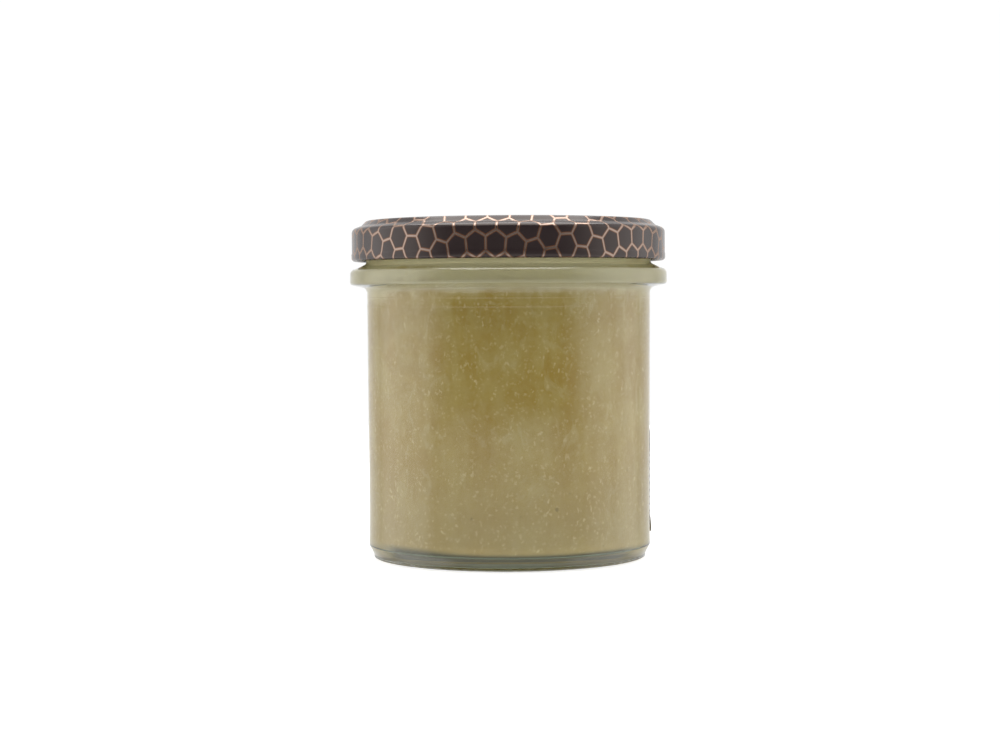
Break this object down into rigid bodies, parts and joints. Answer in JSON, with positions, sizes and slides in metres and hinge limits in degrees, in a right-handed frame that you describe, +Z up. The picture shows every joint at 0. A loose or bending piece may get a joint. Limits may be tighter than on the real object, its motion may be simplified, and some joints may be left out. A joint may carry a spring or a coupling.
{
  "type": "honey jar",
  "caption": "Shut straight-sided glass jar with a shoulder ring and a honeycomb-printed screw lid, filled with set honey, with a plain label round its side and back.",
  "frame": {"origin": "centre of the jar's axis on the surface that it stands on", "axes": "+Z up along the jar's axis, -Y towards the viewer of the picture, +X to the right"},
  "size_m": [0.0866, 0.0866, 0.0922],
  "materials": {
    "clear_glass": "clear pressed flint glass with a faint green cast, fire-polished",
    "set_honey": null,
    "lid_lacquer": "near-black brown gloss lacquer on tinplate with a thin copper honeycomb print",
    "label_paper": null
  },
  "bodies": {
    "root": {"jar": "clear_glass", "honey": "set_honey", "lid": "lid_lacquer", "label": "label_paper"}
  },
  "joints": []
}
